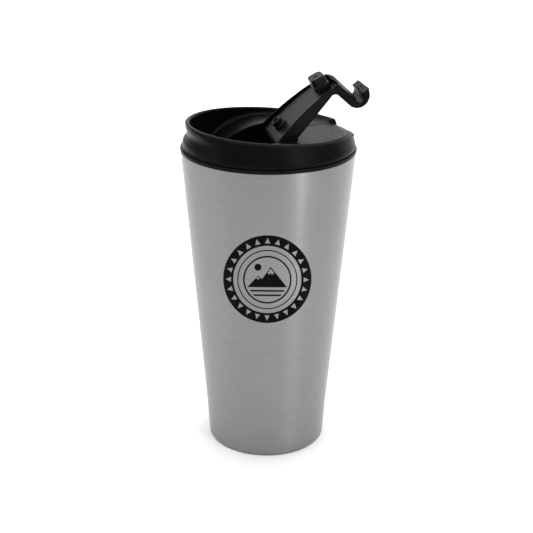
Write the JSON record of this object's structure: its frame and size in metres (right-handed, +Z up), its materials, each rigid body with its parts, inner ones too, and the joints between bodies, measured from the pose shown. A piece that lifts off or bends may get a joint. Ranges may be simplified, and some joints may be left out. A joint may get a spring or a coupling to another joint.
{
  "type": "insulated travel mug",
  "caption": "Tapered double-wall steel travel mug with a black drinking lid and a flip lever that plugs the sip hole and hooks over the rim.",
  "frame": {"origin": "centre of the foot pad's underside, on the cup's axis", "axes": "+Z up along the cup's axis; -X towards the drinking side of the lid; the lever's hinge runs along Y"},
  "size_m": [0.0925, 0.0876, 0.1948],
  "materials": {
    "steel": "satin, brushed around the axis",
    "base_plastic": "fine moulded texture",
    "foot_rubber": "matt non-slip",
    "liner_plastic": "smooth moulded",
    "seal_rubber": "smooth",
    "badge_ink": "printed ink",
    "lid_plastic": "smooth moulded",
    "cover_plastic": "smooth moulded",
    "gasket_rubber": "smooth silicone",
    "pin_steel": "drawn wire",
    "lever_plastic": "smooth moulded",
    "panel_plastic": "fine moulded texture",
    "plug_rubber": "smooth silicone"
  },
  "bodies": {
    "cup": {"outer_shell": "steel", "base_plate": "base_plastic", "foot_pad": "foot_rubber", "inner_liner": "liner_plastic", "collar_seal": "seal_rubber", "badge_print": "badge_ink"},
    "lid": {"lid_body": "lid_plastic", "lid_cover": "cover_plastic", "lid_gasket": "gasket_rubber", "hinge_pin": "pin_steel"},
    "lever": {"lever_arm": "lever_plastic", "lever_panel": "panel_plastic", "sip_plug": "plug_rubber", "vent_plug": "plug_rubber"}
  },
  "joints": [
    {"name": "lid_lift", "type": "slide", "parent": "cup", "child": "lid", "axis": [0, 0, 1], "range_m": [0, 0.03]},
    {"name": "lever_hinge", "type": "hinge", "parent": "lid", "child": "lever", "pos_m": [0.0043, 0, 0.1615], "axis": [0, -1, 0], "range_deg": [0, 137]}
  ]
}
